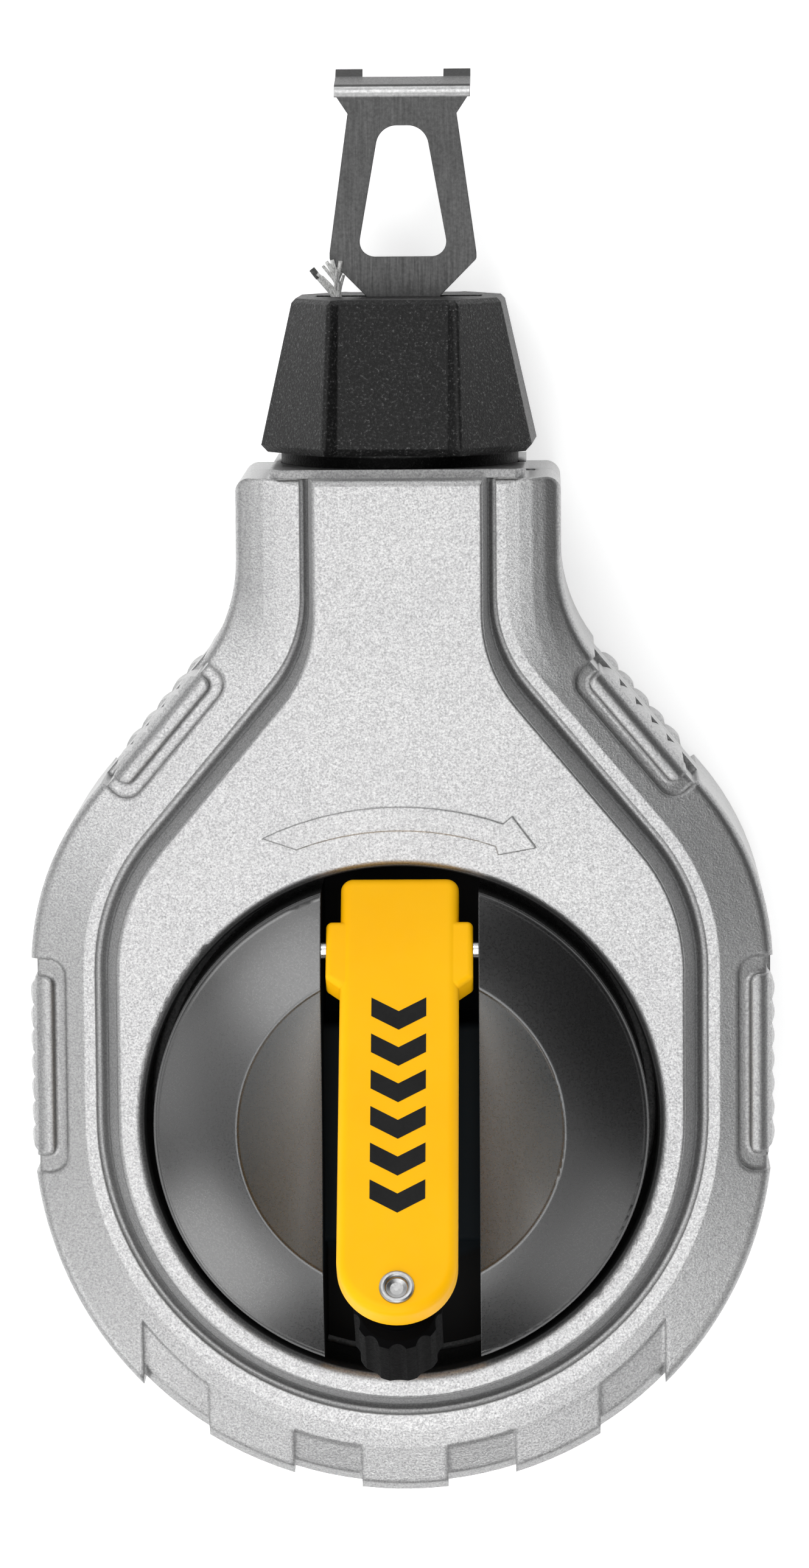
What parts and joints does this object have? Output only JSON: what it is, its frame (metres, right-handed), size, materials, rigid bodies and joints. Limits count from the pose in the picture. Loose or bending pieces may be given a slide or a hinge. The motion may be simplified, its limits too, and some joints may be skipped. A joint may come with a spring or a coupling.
{
  "type": "chalk line reel",
  "caption": "Hand-held geared chalk line reel: pear-shaped cast case, folding crank arm on a round dial, pull-off nozzle cap and a flat end hook.",
  "frame": {"origin": "on the rear face, under the crank axis", "axes": "+Z out of the crank face along the crank axis, +Y towards the nozzle and the hook, +X to the right of the crank face"},
  "size_m": [0.1136, 0.2168, 0.0861],
  "materials": {
    "case_metal": "satin, fine cast grain",
    "gasket_rubber": "matt",
    "steel": "satin",
    "gear_plastic": "satin",
    "brass": "satin",
    "dial_plastic": "fine matt texture",
    "arm_paint": "satin",
    "knob_plastic": "matt",
    "cap_plastic": "fine matt texture",
    "spool_plastic": "matt",
    "felt": "soft felt",
    "line_fibre": "twisted fibre",
    "hook_steel": "satin stainless"
  },
  "bodies": {
    "case": {"front_case": "case_metal", "rear_case": "case_metal", "case_gasket": "gasket_rubber", "case_screws": "steel", "ring_gear": "gear_plastic", "gear_plate": "steel", "gear_plate_screws": "steel", "shaft_seal": "felt", "spool_axle": "steel", "dial_bushing": "brass", "dial_washer": "steel", "dial_screw": "steel"},
    "dial": {"crank_dial": "dial_plastic", "planet_carrier": "gear_plastic", "planet_pins": "steel", "hinge_pin": "steel"},
    "arm": {"crank_arm": "arm_paint", "knob_rivet": "steel"},
    "knob": {"crank_knob": "knob_plastic"},
    "planet_1": {"planet_gear_1": "gear_plastic"},
    "planet_2": {"planet_gear_2": "gear_plastic"},
    "planet_3": {"planet_gear_3": "gear_plastic"},
    "reel": {"spool": "spool_plastic", "sun_gear": "gear_plastic", "spool_bushing": "brass", "wound_line": "line_fibre"},
    "seal": {"cap_seal_ring": "gasket_rubber"},
    "cap": {"nozzle_cap": "cap_plastic", "felt_wiper": "felt", "wiper_retainer": "spool_plastic"},
    "hook_end": {"hook": "hook_steel", "line_lead": "line_fibre", "line_knot": "line_fibre", "line_tail": "line_fibre"}
  },
  "joints": [
    {"name": "crank_spin", "type": "hinge", "parent": "case", "child": "dial", "pos_m": [0, 0, 0.03], "axis": [0, 0, 1], "continuous": true},
    {"name": "arm_fold", "type": "hinge", "parent": "dial", "child": "arm", "pos_m": [0, 0.027, 0.049], "axis": [-1, 0, 0], "range_deg": [-36, 144]},
    {"name": "knob_spin", "type": "hinge", "parent": "arm", "child": "knob", "pos_m": [0, -0.01879, 0.08227], "axis": [0, 0.5878, 0.809], "continuous": true},
    {"name": "spool_spin", "type": "hinge", "parent": "case", "child": "reel", "pos_m": [0, 0, 0.01], "axis": [0, 0, 1], "continuous": true},
    {"name": "planet_1_spin", "type": "hinge", "parent": "dial", "child": "planet_1", "pos_m": [0, 0.015, 0.0224], "axis": [0, 0, 1], "continuous": true},
    {"name": "planet_2_spin", "type": "hinge", "parent": "dial", "child": "planet_2", "pos_m": [-0.01299, -0.0075, 0.0224], "axis": [0, 0, 1], "continuous": true},
    {"name": "planet_3_spin", "type": "hinge", "parent": "dial", "child": "planet_3", "pos_m": [0.01299, -0.0075, 0.0224], "axis": [0, 0, 1], "continuous": true},
    {"name": "cap_pull", "type": "slide", "parent": "case", "child": "seal", "axis": [0, 1, 0], "range_m": [0, 0.03]},
    {"name": "cap_twist", "type": "hinge", "parent": "seal", "child": "cap", "pos_m": [0, 0.092, 0.022], "axis": [0, 1, 0], "continuous": true},
    {"name": "hook_pull", "type": "slide", "parent": "cap", "child": "hook_end", "axis": [0, 1, 0], "range_m": [0, 0.05]}
  ],
  "couplings": [
    {"joint": "spool_spin", "follows": "crank_spin", "ratio": 3},
    {"joint": "planet_1_spin", "follows": "crank_spin", "ratio": -4},
    {"joint": "planet_2_spin", "follows": "crank_spin", "ratio": -4},
    {"joint": "planet_3_spin", "follows": "crank_spin", "ratio": -4}
  ]
}
